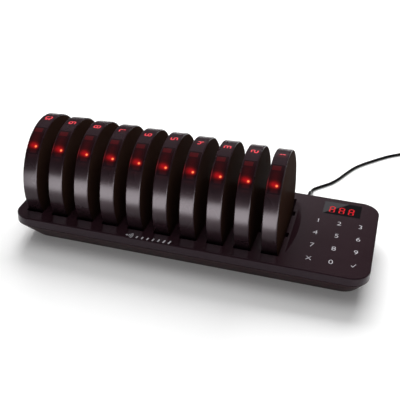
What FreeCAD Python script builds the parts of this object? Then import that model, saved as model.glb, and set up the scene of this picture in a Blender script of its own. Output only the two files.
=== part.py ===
import FreeCAD, Part
import math
import os

# A guest paging set: a charging base with a keypad and a display, and ten coaster pagers
# that stand in its slots and lean a little to the left. A thin lead runs from the back of
# the base to a wall adapter.
#
# Millimetres. X runs to the right along the base, Y to the back, Z up.
# The origin is on the table, under the middle of the base.
#
# A pager is drawn in its own axes: its round axis is X, its right face is at X = 0, and an
# angle round its rim is counted up from the front (-Y). It is then leaned and put in place.

V = FreeCAD.Vector

# ---- pager ----
PAGER_COUNT = 10
PAGER_RADIUS = 50.0
PAGER_THICK = 13.4
PAGER_PITCH = 24.28
PAGER_LEAN = 2.756            # degrees, tops to the left
FIRST_PAGER_X = 79.6          # right face of pager 01, at its axis
PAGER_AXIS_Z = 53.97
PAGER_EDGE = 1.0              # rounding of both rim edges
PAGER_WALL = 1.8
PAGER_FACE = 1.6
COVER_THICK = 1.5
LEDGE_WIDE = 1.4              # ring that the back cover rests on
LEDGE_THICK = 1.5
WINDOW_LOW = 40.0             # degrees round the rim
WINDOW_HIGH = 72.7
WINDOW_X = (-12.2, -1.0)
BOARD_X = (-3.6, -2.6)        # the pager's circuit board
BOARD_RADIUS = 46.2
PAGER_BOSS_AT = ((39.4, 6.9), (-39.4, 6.9), (0.0, -40.0))   # y, z
PAGER_BOSS_RADIUS = 2.6
CONTACT_Y = (-12.1, 24.6)     # the two charging contacts, in Y
CONTACT_Z = 20.0              # height of the charging contacts over the table
CONTACT_RADIUS = 2.5
LED_AT = (48.5, 58.0, 68.0)   # degrees round the rim
LED_SIZE = (2.6, 2.6, 3.2)    # along the pager's axis, outwards, round the rim
LED_RADIUS = 45.8             # outer face of the lights
REST_RING = (30.0, 31.2)      # inner and outer radius of the ring that the board lies on
PAGER_SCREW_RADIUS = 1.0
PAGER_SCREW_DEEP = 5.5
BATTERY_SIZE = (6.0, 38.0, 28.0)
BATTERY_Z = 1.0               # height of its middle over the axis
NUMBER_BLOCK_SIZE = (6.6, 11.7, 3.7)
NUMBER_BLOCK_AT = (-9.2, 43.4)     # y and z of its lowest front corner
MOTOR_X = -7.1
MOTOR_Z = -25.0
MOTOR_RADIUS = 3.5
MOTOR_Y = (-12.0, 2.0)
SHAFT_RADIUS = 0.5
WEIGHT_RADIUS = 3.2
WEIGHT_Y = (2.9, 6.9)
BUZZER_AT = (24.0, -22.0)     # y, z
BUZZER_RADIUS = 6.5
BUZZER_THICK = 4.5

# ---- base ----
BASE_LONG = 321.6
BASE_DEEP = 124.7
BASE_TOP = 32.4
PLATE_LOW = 24.34             # seam between the two housings
FLOOR_LOW = 1.0               # underside of the bottom housing
CORNER = 17.0
SIDE_INSET = 22.5             # how far the underside draws in at the front and back
END_INSET = 6.5               # and at the two ends
SIDE_WALL = 2.2
TOP_WALL = 2.8
FLOOR_WALL = 1.1
SLOPE_WALL = 2.4              # across the sloping front and back
END_WALL = 1.5
POCKET_LEFT = -12.7           # pocket walls, from the pager's right face
POCKET_RIGHT = 3.0
POCKET_RADIUS = 56.4
POCKET_FLOOR = 3.08
POCKET_WALL = 1.2
POCKET_SKIN = 0.88            # under the pocket's lowest point
NOTCH_DEEP = 2.5              # notches for the charging springs
NOTCH_LONG = 7.1
NOTCH_FLOOR = 12.2
TROUGH_DEEP = 1.6             # the shallow trough that the pockets open into
TROUGH_HALF = 44.0
TROUGH_RIGHT = 7.2            # its inner right end, from the face of pager 01
TROUGH_END_LONG = 5.8         # length of its sloping right end
TROUGH_LEFT_LONG = 2.3
FIT_GAP = 0.1

# Housing screws: the gap to the right of a pocket (by pager number), or a place in X.
GAP_CENTRE = (POCKET_RIGHT + POCKET_LEFT + PAGER_PITCH) / 2
SCREW_ROW = 34.0
RIGHT_SCREW_X = 128.0
RIGHT_SCREW_Y = (29.0, -34.0)
SCREW_BOSS_RADIUS = 2.6
SCREW_RADIUS = 1.1
SCREW_TOP = 11.0

# Display window in the top
WINDOW_CENTRE = (126.6, 44.25)
WINDOW_SIZE = (34.8, 22.3)
WINDOW_THICK = 1.2
SIGHT_SIZE = (30.0, 18.0)
DISPLAY_LOW = 22.6

# Boards under the top
MAIN_BOARD_POSTS = ((103.0, -33.0), (117.0, -33.0), (103.0, 20.0), (133.0, 17.0))
MAIN_BOARD = (98.0, 145.0, -44.0, 24.0, 12.0, 13.6)     # x, x, y, y, z, z
MAIN_BOARD_TOP = MAIN_BOARD[5]
KEYPAD_BOARD = (103.0, 155.0, -52.0, 24.0)              # x, x, y, y
KEYPAD_BOARD_TOP = BASE_TOP - TOP_WALL
BOARD_THICK = 1.6
CHARGE_BOARD_Z = (26.9, 28.5)
CHARGE_BOARD_HALF = 58.3
RUNG_START = POCKET_RIGHT + NOTCH_DEEP + POCKET_WALL + 0.3
RUNG_HALF = 50.8
SPRING_THICK = 0.15
SPRING_WIDE = 4.8
SHIELD_CAN = (104.0, 128.0, -22.0, -2.0)                # x, x, y, y
SHIELD_HIGH = 3.0
SHIELD_WALL = 0.4
BASE_BUZZER_AT = (137.0, -22.0)
BASE_BUZZER_RADIUS = 6.0
BASE_BUZZER_HIGH = 6.5
ANTENNA_RADIUS = 0.6
ANTENNA_Z = 22.0
RIBBON_THICK = 0.2
FOOT_RADIUS = 5.0
FOOT_AT = ((-120.0, 10.0, 110.0), (-31.0, 31.0))        # the x places, the y places
SCREW_HEAD_RADIUS = 2.3
SCREW_HEAD_HIGH = 0.85

# Power jack at the back
JACK_X = 90.0
JACK_Z = 16.0
JACK_FACE_Y = 59.2
JACK_WIDE = 9.0
JACK_LONG = 12.5
JACK_HIGH = 11.0
JACK_FRAME = 2.0              # the jack's frame, round its sides
JACK_FRAME_HIGH = 0.8         # and over and under it
FACE_PLATE = 1.5
BARREL_RADIUS = 2.75
BARREL_LONG = 10.0
PIN_RADIUS = 0.9

# ---- lead ----
CORD_RADIUS = 1.5
PLUG_RADIUS = 4.6
PLUG_LONG = 16.0
PLUG_TAPER = 10.0
COIL_CENTRE = (204.8, 233.4)
COIL_RADII = (14.15, 20.35)
COIL_HIGH = 15.1
ADAPTER_LOW = (198.0, 65.0)
ADAPTER_SIZE = (45.0, 75.0, 32.0)
ADAPTER_LEAD = (220.5, 16.0)  # x, z of the lead where it leaves the adapter
RELIEF_LONG = 14.0
RELIEF_RADIUS = 3.6
BLADE_SIZE = (1.5, 6.35, 17.5)
BLADE_SPACING = 12.7
BLADE_Y = 112.0

PLUG_END_Y = JACK_FACE_Y + PLUG_LONG + PLUG_TAPER
ADAPTER_END_Y = ADAPTER_LOW[1] + ADAPTER_SIZE[1]

# From the plug down to the table, round the back of the base and away to the coil.
CORD_OUT = [
    (JACK_X, PLUG_END_Y, JACK_Z), (90.0, 94.0, 16.0), (90.0, 102.0, 12.2), (89.9, 109.3, 6.5),
    (89.8, 117.0, 2.7), (89.6, 125.2, 1.6), (94.8, 132.0, 1.6), (101.5, 139.0, 1.6),
    (108.3, 147.3, 1.6), (113.7, 157.4, 1.6), (118.3, 168.4, 1.6), (123.1, 179.2, 1.6),
    (128.7, 190.2, 1.6), (136.0, 200.2, 1.6), (144.6, 210.0, 1.6), (153.6, 220.0, 1.6),
    (162.9, 229.4, 1.6), (173.0, 237.4, 1.6), (181.2, 243.0, 1.6), (189.4, 247.4, 1.6),
    (197.8, 250.8, 1.6),
]
# From the coil to the adapter.
CORD_BACK = [
    (223.5, 234.5, 13.5), (223.3, 224.6, 12.6), (222.8, 216.5, 7.8), (222.3, 207.8, 3.6),
    (221.8, 198.3, 1.6), (221.3, 188.5, 3.4), (220.9, 179.6, 7.4), (220.7, 171.5, 12.6),
    (ADAPTER_LEAD[0], ADAPTER_END_Y + RELIEF_LONG + 9.0, ADAPTER_LEAD[1]),
    (ADAPTER_LEAD[0], ADAPTER_END_Y + RELIEF_LONG, ADAPTER_LEAD[1]),
]
FREE_RUN_SHARE = 0.45         # of a run, taken by the arc at each of its ends


# ---- simple shapes ----

def box(x0, x1, y0, y1, z0, z1):
    return Part.makeBox(x1 - x0, y1 - y0, z1 - z0, V(x0, y0, z0))


def x_cylinder(radius, x0, x1, y=0.0, z=0.0):
    return Part.makeCylinder(radius, x1 - x0, V(x0, y, z), V(1, 0, 0))


def y_cylinder(radius, y0, y1, x=0.0, z=0.0):
    return Part.makeCylinder(radius, y1 - y0, V(x, y0, z), V(0, 1, 0))


def z_cylinder(radius, z0, z1, x=0.0, y=0.0):
    return Part.makeCylinder(radius, z1 - z0, V(x, y, z0), V(0, 0, 1))


def rounded_rectangle(long, deep, radius, z):
    """A closed outline, centred on the origin, with quarter-circle corners."""
    half_x = long / 2
    half_y = deep / 2
    slant = radius * (1 - math.sqrt(0.5))
    edges = []
    for sign_x, sign_y in ((1, 1), (-1, 1), (-1, -1), (1, -1)):
        side = V(sign_x * half_x, sign_y * (half_y - radius), z)
        end = V(sign_x * (half_x - radius), sign_y * half_y, z)
        middle = V(sign_x * (half_x - slant), sign_y * (half_y - slant), z)
        ends = (side, end) if sign_x == sign_y else (end, side)
        if edges:
            edges.append(Part.LineSegment(edges[-1].Vertexes[-1].Point, ends[0]).toShape())
        edges.append(Part.Arc(ends[0], middle, ends[1]).toShape())
    edges.append(Part.LineSegment(edges[-1].Vertexes[-1].Point, edges[0].Vertexes[0].Point).toShape())
    return Part.Wire(edges)


def rounded_block(long, deep, radius, z0, z1):
    return Part.Face(rounded_rectangle(long, deep, radius, z0)).extrude(V(0, 0, z1 - z0))


def rim_point(radius, angle, x):
    turn = math.radians(angle)
    return V(x, -radius * math.cos(turn), radius * math.sin(turn))


def rim_sector(r0, r1, x0, x1, low, high):
    """Part of a ring round the pager's axis."""
    middle = (low + high) / 2
    edges = [
        Part.Arc(rim_point(r1, low, x0), rim_point(r1, middle, x0), rim_point(r1, high, x0)).toShape(),
        Part.LineSegment(rim_point(r1, high, x0), rim_point(r0, high, x0)).toShape(),
        Part.Arc(rim_point(r0, high, x0), rim_point(r0, middle, x0), rim_point(r0, low, x0)).toShape(),
        Part.LineSegment(rim_point(r0, low, x0), rim_point(r1, low, x0)).toShape(),
    ]
    return Part.Face(Part.Wire(edges)).extrude(V(x1 - x0, 0, 0))


def flat_strip(points, thick, across):
    """A strip that follows points in a plane, made thick in that plane and drawn out across it."""
    width_direction = V(*across).normalize()
    pieces = []
    for start, end in zip(points, points[1:]):
        start, end = V(*start), V(*end)
        side = (end - start).cross(width_direction).normalize() * thick
        outline = Part.makePolygon([start, end, end + side, start + side, start])
        pieces.append(Part.Face(outline).extrude(V(*across)))
        pieces.append(Part.makeCylinder(thick, V(*across).Length, start, width_direction))
    strip = pieces[0].fuse(pieces[2:]) if len(pieces) > 2 else pieces[0]
    return strip.removeSplitter()


# ---- pager pieces, in the pager's own axes ----

BACK_X = -PAGER_THICK                      # the pager's left face
COVER_X = BACK_X + COVER_THICK             # inner face of the back cover
INSIDE_RADIUS = PAGER_RADIUS - PAGER_WALL


def pager_top_shell():
    """A round cup with a plain right face, open on the left for the back cover."""
    shell = x_cylinder(PAGER_RADIUS, BACK_X, 0)
    rims = [e for e in shell.Edges if len(e.Vertexes) == 1 and hasattr(e.Curve, "Radius")]
    shell = shell.makeFillet(PAGER_EDGE, rims)
    shell = shell.cut(x_cylinder(INSIDE_RADIUS, BACK_X - 1, COVER_X))
    shell = shell.cut(x_cylinder(INSIDE_RADIUS - LEDGE_WIDE, COVER_X - 1, COVER_X + LEDGE_THICK))
    shell = shell.cut(x_cylinder(INSIDE_RADIUS, COVER_X + LEDGE_THICK, -PAGER_FACE))
    ring_inside, ring_outside = [x_cylinder(radius, BOARD_X[1], -PAGER_FACE) for radius in REST_RING]
    shell = shell.fuse(ring_outside.cut(ring_inside))
    for y, z in PAGER_BOSS_AT:
        boss = x_cylinder(PAGER_BOSS_RADIUS, COVER_X, -PAGER_FACE, y, z)
        screw_hole = x_cylinder(PAGER_SCREW_RADIUS, COVER_X, COVER_X + PAGER_SCREW_DEEP, y, z)
        shell = shell.fuse(boss).cut(screw_hole)
    for y, z in contact_places():
        shell = shell.cut(x_cylinder(CONTACT_RADIUS + FIT_GAP, -PAGER_FACE - 0.1, 0.1, y, z))
    opening = rim_sector(INSIDE_RADIUS, PAGER_RADIUS + 1, *WINDOW_X, WINDOW_LOW, WINDOW_HIGH)
    return shell.cut(opening).removeSplitter()


def contact_places():
    return [(y, CONTACT_Z - PAGER_AXIS_Z) for y in CONTACT_Y]


def pager_back_cover():
    cover = x_cylinder(INSIDE_RADIUS - FIT_GAP, BACK_X, COVER_X)
    edge = [e for e in cover.Edges if len(e.Vertexes) == 1 and abs(e.BoundBox.XMax - BACK_X) < 1e-6]
    cover = cover.makeChamfer(0.4, edge)
    for y, z in PAGER_BOSS_AT:
        cover = cover.cut(x_cylinder(PAGER_SCREW_RADIUS + FIT_GAP, BACK_X, COVER_X, y, z))
        cover = cover.cut(x_cylinder(2.1, BACK_X, BACK_X + 0.9, y, z))
    return cover


def pager_light_window():
    gap = FIT_GAP / 2
    turn = math.degrees(gap / PAGER_RADIUS)
    return rim_sector(INSIDE_RADIUS, PAGER_RADIUS - FIT_GAP, WINDOW_X[0] + gap, WINDOW_X[1] - gap,
                      WINDOW_LOW + turn, WINDOW_HIGH - turn)


def pager_circuit_board():
    board = x_cylinder(BOARD_RADIUS, *BOARD_X)
    for y, z in PAGER_BOSS_AT:
        board = board.cut(x_cylinder(PAGER_BOSS_RADIUS + 0.4, *BOARD_X, y, z))
    return board


def pager_battery():
    thick, wide, high = BATTERY_SIZE
    cell = box(BOARD_X[0] - thick, BOARD_X[0], -wide / 2, wide / 2,
               BATTERY_Z - high / 2, BATTERY_Z + high / 2)
    corners = [e for e in cell.Edges if e.BoundBox.XLength > 1]
    return cell.makeFillet(1.5, corners)


def pager_vibration_motor():
    back, front = MOTOR_Y
    can = y_cylinder(MOTOR_RADIUS, back, front, MOTOR_X, MOTOR_Z)
    return can.cut(y_cylinder(SHAFT_RADIUS + 0.05, front - 3.0, front, MOTOR_X, MOTOR_Z))


def pager_motor_weight():
    """The off-centre weight, with the motor's shaft pressed into it."""
    start, end = WEIGHT_Y
    weight = y_cylinder(WEIGHT_RADIUS, start, end, MOTOR_X, MOTOR_Z)
    weight = weight.cut(box(MOTOR_X - 4, MOTOR_X + 4, start - 1, end + 1, MOTOR_Z + 0.8, MOTOR_Z + 5))
    shaft = y_cylinder(SHAFT_RADIUS, MOTOR_Y[1] - 2.8, end, MOTOR_X, MOTOR_Z)
    return weight.fuse(shaft).removeSplitter()


def pager_buzzer():
    front = BOARD_X[0] - BUZZER_THICK
    can = x_cylinder(BUZZER_RADIUS, front, BOARD_X[0], *BUZZER_AT)
    return can.cut(x_cylinder(1.0, front - 0.1, front + 1.2, *BUZZER_AT))


def pager_number_display():
    """The block of lights that shows the pager's number through the top of the rim."""
    thick, wide, high = NUMBER_BLOCK_SIZE
    y, z = NUMBER_BLOCK_AT
    return box(BOARD_X[0] - thick, BOARD_X[0], y, y + wide, z, z + high)


def pager_indicator_leds():
    long, thick, wide = LED_SIZE
    lights = []
    for angle in LED_AT:
        light = box(BOARD_X[0] - long, BOARD_X[0], -LED_RADIUS, thick - LED_RADIUS, -wide / 2, wide / 2)
        lights.append(light.rotate(V(0, 0, 0), V(1, 0, 0), -angle))
    return Part.makeCompound(lights)


def pager_charge_contacts():
    pads = [x_cylinder(CONTACT_RADIUS, BOARD_X[1], -0.05, y, z) for y, z in contact_places()]
    return Part.makeCompound(pads)


def pager_cover_screws():
    screws = []
    for y, z in PAGER_BOSS_AT:
        head = x_cylinder(1.9, BACK_X + 0.1, BACK_X + 0.9, y, z)
        for half_y, half_z in ((1.2, 0.2), (0.2, 1.2)):
            head = head.cut(box(BACK_X, BACK_X + 0.5, y - half_y, y + half_y, z - half_z, z + half_z))
        stem = x_cylinder(PAGER_SCREW_RADIUS, BACK_X + 0.9, COVER_X + PAGER_SCREW_DEEP - 0.1, y, z)
        screws.append(head.fuse(stem))
    return Part.makeCompound(screws)


INSIDES = {
    "light_window": pager_light_window, "circuit_board": pager_circuit_board,
    "battery": pager_battery, "vibration_motor": pager_vibration_motor,
    "motor_weight": pager_motor_weight, "buzzer": pager_buzzer,
    "number_display": pager_number_display, "indicator_leds": pager_indicator_leds,
    "charge_contacts": pager_charge_contacts, "cover_screws": pager_cover_screws,
}


def face_x(number):
    """Where the right face of a pager meets its axis."""
    return FIRST_PAGER_X - (number - 1) * PAGER_PITCH


def stand_in_slot(shape, number):
    placed = shape.copy()
    lean = FreeCAD.Rotation(V(0, 1, 0), -PAGER_LEAN)
    placed.Placement = FreeCAD.Placement(V(face_x(number), 0, PAGER_AXIS_Z), lean)
    return placed


def pager_nodes():
    """Pager 01 with each piece in its own node. The others hold their inner pieces as one group."""
    shell = pager_top_shell()
    cover = pager_back_cover()
    inner = {name: make() for name, make in INSIDES.items()}
    nodes = {"pager_01_" + name: stand_in_slot(shape, 1) for name, shape in inner.items()}
    loose = [solid for shape in inner.values() for solid in shape.Solids]
    for number in range(1, PAGER_COUNT + 1):
        label = f"pager_{number:02d}_"
        nodes[label + "top_shell"] = stand_in_slot(shell, number)
        nodes[label + "back_cover"] = stand_in_slot(cover, number)
        if number > 1:
            nodes[label + "insides"] = Part.makeCompound([stand_in_slot(s, number) for s in loose])
    return nodes


# ---- base pieces ----

def underside_outline(z, side_wall=0.0, end_wall=0.0):
    """The boat-shaped underside's outline at a height, or its inside, walls taken off."""
    drawn_in = (PLATE_LOW - z) / (PLATE_LOW - FLOOR_LOW)
    long = BASE_LONG - 2 * (END_INSET * drawn_in + end_wall)
    deep = BASE_DEEP - 2 * (SIDE_INSET * drawn_in + side_wall)
    return rounded_rectangle(long, deep, CORNER - end_wall, z)


def tapered_block(low, high):
    """A block between two outlines that have the same edges in the same order."""
    sides = [Part.makeRuledSurface(a, b) for a, b in zip(low.OrderedEdges, high.OrderedEdges)]
    return Part.Solid(Part.Shell(sides + [Part.Face(low), Part.Face(high)]))


def underside_outside():
    return tapered_block(underside_outline(FLOOR_LOW), underside_outline(PLATE_LOW))


def underside_inside():
    floor = underside_outline(FLOOR_LOW + FLOOR_WALL, SLOPE_WALL, END_WALL)
    return tapered_block(floor, underside_outline(PLATE_LOW, SLOPE_WALL, END_WALL))


def screw_places():
    right = [(RIGHT_SCREW_X, y) for y in RIGHT_SCREW_Y]
    rows = ((10, SCREW_ROW), (9, -SCREW_ROW), (6, SCREW_ROW), (5, -SCREW_ROW))
    return [(face_x(number) + GAP_CENTRE, y) for number, y in rows] + right


def foot_places():
    return [(x, y) for x in FOOT_AT[0] for y in FOOT_AT[1]]


def pocket_profile(radius_gain, x0, x1, z_top):
    """A round-bottomed block across a pocket, up to z_top."""
    radius = POCKET_RADIUS + radius_gain
    drum = x_cylinder(radius, x0, x1, 0, POCKET_FLOOR + POCKET_RADIUS)
    return drum.common(box(x0, x1, -80, 80, 0, z_top))


def notch_box(number, y, gain, z0, z1):
    x = face_x(number) + POCKET_RIGHT
    half = NOTCH_LONG / 2 + gain
    return box(x - 0.5, x + NOTCH_DEEP + gain, y - half, y + half, z0, z1)


def trough():
    """The shallow trough over the pockets. Both of its ends slope up to the top face."""
    sag = TROUGH_DEEP
    left = face_x(PAGER_COUNT) + POCKET_LEFT
    right = face_x(1) + TROUGH_RIGHT
    above = BASE_TOP + 5

    def section(x):
        ends = V(x, -TROUGH_HALF, BASE_TOP), V(x, TROUGH_HALF, BASE_TOP)
        bow = Part.Arc(ends[0], V(x, 0, BASE_TOP - sag), ends[1]).toShape()
        lid = Part.makePolygon([ends[1], V(x, TROUGH_HALF, above), V(x, -TROUGH_HALF, above), ends[0]])
        return Part.Face(Part.Wire([bow] + lid.Edges))

    level = section(left).extrude(V(right - left, 0, 0))
    right_end = section(right).extrude(V(TROUGH_END_LONG * 2, 0, sag * 2))
    left_end = section(left).extrude(V(-TROUGH_LEFT_LONG * 2, 0, sag * 2))
    return level.fuse([right_end, left_end])


def top_housing():
    plate = rounded_block(BASE_LONG, BASE_DEEP, CORNER, PLATE_LOW, BASE_TOP)
    top_edges = [e for e in plate.Edges if e.BoundBox.ZMin > BASE_TOP - 0.01]
    plate = plate.makeFillet(1.2, top_edges)
    low_edges = [e for e in plate.Edges if e.BoundBox.ZMax < PLATE_LOW + 0.01]
    plate = plate.makeFillet(0.6, low_edges)
    plate = plate.cut(rounded_block(BASE_LONG - 2 * SIDE_WALL, BASE_DEEP - 2 * SIDE_WALL,
                                    CORNER - SIDE_WALL, PLATE_LOW - 1, BASE_TOP - TOP_WALL))
    added, removed = [], [trough()]
    inside_top = BASE_TOP - TOP_WALL + 0.1
    for number in range(1, PAGER_COUNT + 1):
        x0, x1 = face_x(number) + POCKET_LEFT, face_x(number) + POCKET_RIGHT
        skin = pocket_profile(POCKET_WALL, x0 - POCKET_WALL, x1 + POCKET_WALL, inside_top)
        added.append(skin.common(box(x0 - 5, x1 + 5, -80, 80, POCKET_FLOOR - POCKET_SKIN, inside_top)))
        removed.append(pocket_profile(0, x0, x1, BASE_TOP + 6))
        for y in CONTACT_Y:
            added.append(notch_box(number, y, POCKET_WALL, NOTCH_FLOOR - POCKET_WALL, inside_top))
            removed.append(notch_box(number, y, 0, NOTCH_FLOOR, BASE_TOP + 6))
            removed.append(contact_slit(number, y))
    for x, y in screw_places():
        added.append(z_cylinder(SCREW_BOSS_RADIUS, FLOOR_LOW + FLOOR_WALL, inside_top, x, y))
        removed.append(z_cylinder(SCREW_RADIUS, 0, SCREW_TOP, x, y))
    x, y = WINDOW_CENTRE
    removed.append(centred_box(x, y, WINDOW_SIZE, BASE_TOP - WINDOW_THICK, BASE_TOP + 1))
    removed.append(centred_box(x, y, SIGHT_SIZE, PLATE_LOW, BASE_TOP))
    return plate.fuse(added).cut(removed).removeSplitter()


def centred_box(x, y, size, z0, z1):
    return box(x - size[0] / 2, x + size[0] / 2, y - size[1] / 2, y + size[1] / 2, z0, z1)


def jack_block(gap, y0, y1):
    """The jack's outside, which stands out through the sloping back."""
    half = JACK_WIDE / 2 + JACK_FRAME + gap
    half_high = JACK_HIGH / 2 + JACK_FRAME_HIGH + gap
    return box(JACK_X - half, JACK_X + half, y0, y1, JACK_Z - half_high, JACK_Z + half_high)


def bottom_housing():
    hull = underside_outside()
    lip_gap = SIDE_WALL + FIT_GAP
    lip = rounded_block(BASE_LONG - 2 * lip_gap, BASE_DEEP - 2 * lip_gap, CORNER - lip_gap,
                        PLATE_LOW - 2.0, PLATE_LOW + 2.0)
    lip = lip.cut(rounded_block(BASE_LONG - 2 * lip_gap - 2.4, BASE_DEEP - 2 * lip_gap - 2.4,
                                CORNER - lip_gap - 1.2, PLATE_LOW - 3.0, PLATE_LOW + 3.0))
    hull = hull.cut(underside_inside()).fuse(lip)
    cuts = [jack_block(FIT_GAP, 40.0, JACK_FACE_Y + 5)]
    cuts += [z_cylinder(FOOT_RADIUS + FIT_GAP, 0, FLOOR_LOW + 0.4, x, y) for x, y in foot_places()]
    cuts += [z_cylinder(SCREW_RADIUS + 0.15, 0, FLOOR_LOW + FLOOR_WALL + 0.1, x, y)
             for x, y in screw_places()]
    posts = [z_cylinder(2.5, FLOOR_LOW + 0.5, 12.0, x, y) for x, y in MAIN_BOARD_POSTS]
    return hull.fuse(posts).cut(cuts).removeSplitter()


def contact_slit(number, y):
    """The slit that a charging spring's tail goes out through, to the charging board."""
    x = face_x(number) + POCKET_RIGHT + NOTCH_DEEP
    return box(x - 0.2, x + POCKET_WALL + 0.2, y - 2.6, y + 2.6, CHARGE_BOARD_Z[0] - 0.45, CHARGE_BOARD_Z[0])


def charging_contacts():
    """Leaf springs, two to a pocket. Each bows towards the pager and ends under the board."""
    springs = []
    tail_z = CHARGE_BOARD_Z[0] - SPRING_THICK
    for number in range(1, PAGER_COUNT + 1):
        x = face_x(number)
        for y in CONTACT_Y:
            side = y - SPRING_WIDE / 2
            path = [(x + 4.6, side, NOTCH_FLOOR + 1.2), (x + 2.5, side, CONTACT_Z - 1.2),
                    (x + 2.5, side, CONTACT_Z + 1.2), (x + 4.3, side, tail_z - 0.8),
                    (x + 4.8, side, tail_z - SPRING_THICK),
                    (x + RUNG_START + 2.6, side, tail_z - SPRING_THICK)]
            springs.append(flat_strip(path, SPRING_THICK, (0, SPRING_WIDE, 0)))
    return Part.makeCompound(springs)


def charging_board():
    """A ladder-shaped board under the top, with a hole for each pocket."""
    left = face_x(PAGER_COUNT) + POCKET_LEFT - POCKET_WALL - 1.5
    board = box(left, face_x(1) + RUNG_START + 5.0, -CHARGE_BOARD_HALF, CHARGE_BOARD_HALF, *CHARGE_BOARD_Z)
    holes = []
    for number in range(1, PAGER_COUNT + 1):
        x = face_x(number)
        x0 = x + POCKET_LEFT - POCKET_WALL - 0.3
        holes.append(box(x0, x + RUNG_START, -RUNG_HALF, RUNG_HALF, 20, 35))
    for x, y in screw_places():
        holes.append(z_cylinder(SCREW_BOSS_RADIUS + 0.3, 20, 35, x, y))
    rails = board.cut(holes)
    clip = rounded_block(BASE_LONG - 2 * SIDE_WALL - 3.2, BASE_DEEP - 2 * SIDE_WALL - 3.2,
                         CORNER - SIDE_WALL - 1.6, 20, 35)
    return rails.common(clip)


def display_window():
    x, y = WINDOW_CENTRE
    size = (WINDOW_SIZE[0] - FIT_GAP, WINDOW_SIZE[1] - FIT_GAP)
    return centred_box(x, y, size, BASE_TOP - WINDOW_THICK, BASE_TOP - 0.05)


def display_module():
    x, y = WINDOW_CENTRE
    size = (SIGHT_SIZE[0] - 0.8, SIGHT_SIZE[1] - 0.8)
    return centred_box(x, y, size, DISPLAY_LOW, BASE_TOP - WINDOW_THICK)


def keypad_board():
    board = box(*KEYPAD_BOARD, KEYPAD_BOARD_TOP - BOARD_THICK, KEYPAD_BOARD_TOP)
    for x, y in screw_places()[-2:]:
        board = board.cut(z_cylinder(SCREW_BOSS_RADIUS + 0.4, 20, 35, x, y))
    return board


def main_board():
    board = box(*MAIN_BOARD)
    for x, y in screw_places()[-2:]:
        board = board.cut(z_cylinder(SCREW_BOSS_RADIUS + 0.5, 5, 20, x, y))
    return board


def rf_shield_can():
    x0, x1, y0, y1 = SHIELD_CAN
    wall = SHIELD_WALL
    can = box(x0, x1, y0, y1, MAIN_BOARD_TOP, MAIN_BOARD_TOP + SHIELD_HIGH)
    return can.cut(box(x0 + wall, x1 - wall, y0 + wall, y1 - wall,
                       MAIN_BOARD_TOP, MAIN_BOARD_TOP + SHIELD_HIGH - wall))


def base_buzzer():
    top = MAIN_BOARD_TOP + BASE_BUZZER_HIGH
    can = z_cylinder(BASE_BUZZER_RADIUS, MAIN_BOARD_TOP, top, *BASE_BUZZER_AT)
    return can.cut(z_cylinder(1.2, top - 1.5, top + 0.5, *BASE_BUZZER_AT))


def antenna():
    """A wire that stands up from the main board and runs along the back."""
    bends = [V(141, 4, MAIN_BOARD_TOP), V(141, 4, ANTENNA_Z), V(141, 20, ANTENNA_Z), V(112, 20, ANTENNA_Z)]
    wire = []
    for start, end in zip(bends, bends[1:]):
        wire.append(Part.makeCylinder(ANTENNA_RADIUS, (end - start).Length, start, end - start))
    wire += [Part.makeSphere(ANTENNA_RADIUS, bend) for bend in bends[1:-1]]
    return wire[0].fuse(wire[1:]).removeSplitter()


def ribbon_cables():
    """Flat cables from the main board to the keypad, the charging board and the display."""
    top = MAIN_BOARD_TOP
    to_keypad = [(106, -26, top + 0.2), (106, -30, 20.5), (106, -27, KEYPAD_BOARD_TOP - 1.8)]
    to_charger = [(100.0, -10, top + 0.2), (95.5, -10, 20.0), (90.0, -10, CHARGE_BOARD_Z[0] - 0.2)]
    to_display = [(113, 21, top + 0.2), (113, 31, 16.0), (113, 40, 22.4)]
    return Part.makeCompound([
        flat_strip(to_keypad, RIBBON_THICK, (12, 0, 0)),
        flat_strip(to_charger, RIBBON_THICK, (0, 8, 0)),
        flat_strip(to_display, RIBBON_THICK, (8, 0, 0)),
    ])


def dc_jack():
    """The jack and its frame. The plug's barrel goes in round its pin."""
    back = JACK_FACE_Y - FACE_PLATE
    body = jack_block(0, back - JACK_LONG, JACK_FACE_Y)
    body = body.cut(y_cylinder(BARREL_RADIUS + 0.15, back - BARREL_LONG, JACK_FACE_Y, JACK_X, JACK_Z))
    pin = y_cylinder(PIN_RADIUS, back - BARREL_LONG - 0.5, back - 1, JACK_X, JACK_Z)
    return body.fuse(pin).removeSplitter()


def rubber_feet():
    feet = []
    for x, y in foot_places():
        foot = z_cylinder(FOOT_RADIUS, 0, FLOOR_LOW + 0.4, x, y)
        low = [e for e in foot.Edges if len(e.Vertexes) == 1 and e.BoundBox.ZMax < 0.01]
        feet.append(foot.makeChamfer(0.3, low))
    return Part.makeCompound(feet)


def housing_screws():
    screws = []
    for x, y in screw_places():
        head = z_cylinder(SCREW_HEAD_RADIUS, FLOOR_LOW - SCREW_HEAD_HIGH, FLOOR_LOW, x, y)
        for half_x, half_y in ((1.4, 0.25), (0.25, 1.4)):
            head = head.cut(box(x - half_x, x + half_x, y - half_y, y + half_y, 0, FLOOR_LOW - 0.4))
        screws.append(head.fuse(z_cylinder(SCREW_RADIUS, FLOOR_LOW, SCREW_TOP - 0.5, x, y)))
    return Part.makeCompound(screws)


# ---- lead, plug, coil and adapter ----

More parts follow.
